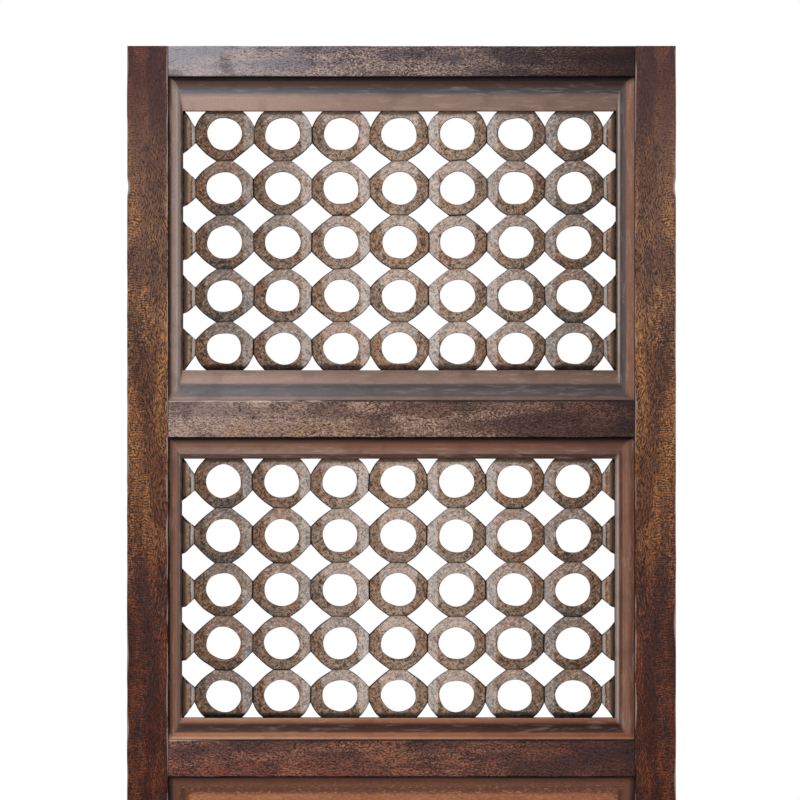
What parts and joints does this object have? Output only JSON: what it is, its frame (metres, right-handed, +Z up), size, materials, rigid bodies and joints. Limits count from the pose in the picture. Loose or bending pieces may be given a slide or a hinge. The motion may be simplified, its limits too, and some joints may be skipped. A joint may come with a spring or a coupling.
{
  "type": "carved wooden wall panel",
  "caption": "Tall framed wooden wall panel with pierced lattices of bevelled rings above a plain raised board, to be fixed to a wall.",
  "frame": {"origin": "on the back face of the top rail, halfway along it, where the panel is fixed to a wall", "axes": "+Z up along the stiles, +Y out of the back towards the wall, +X to the right seen from the front"},
  "size_m": [0.508, 0.025, 1],
  "materials": {
    "stile_wood": "old dark brown stain over golden figured wood, worn at the edges",
    "rail_wood": "old greyish to reddish brown stain, worn at the edges",
    "lattice_wood": "hand carved, grey and brown washed bevels with dark stain in the cuts",
    "base_wood": "tan brown stain, dark in the cove"
  },
  "bodies": {
    "root": {"left_stile": "stile_wood", "right_stile": "stile_wood", "top_rail": "rail_wood", "upper_middle_rail": "rail_wood", "lower_middle_rail": "rail_wood", "bottom_rail": "rail_wood", "upper_lattice": "lattice_wood", "lower_lattice": "lattice_wood", "base_board": "base_wood"}
  },
  "joints": []
}
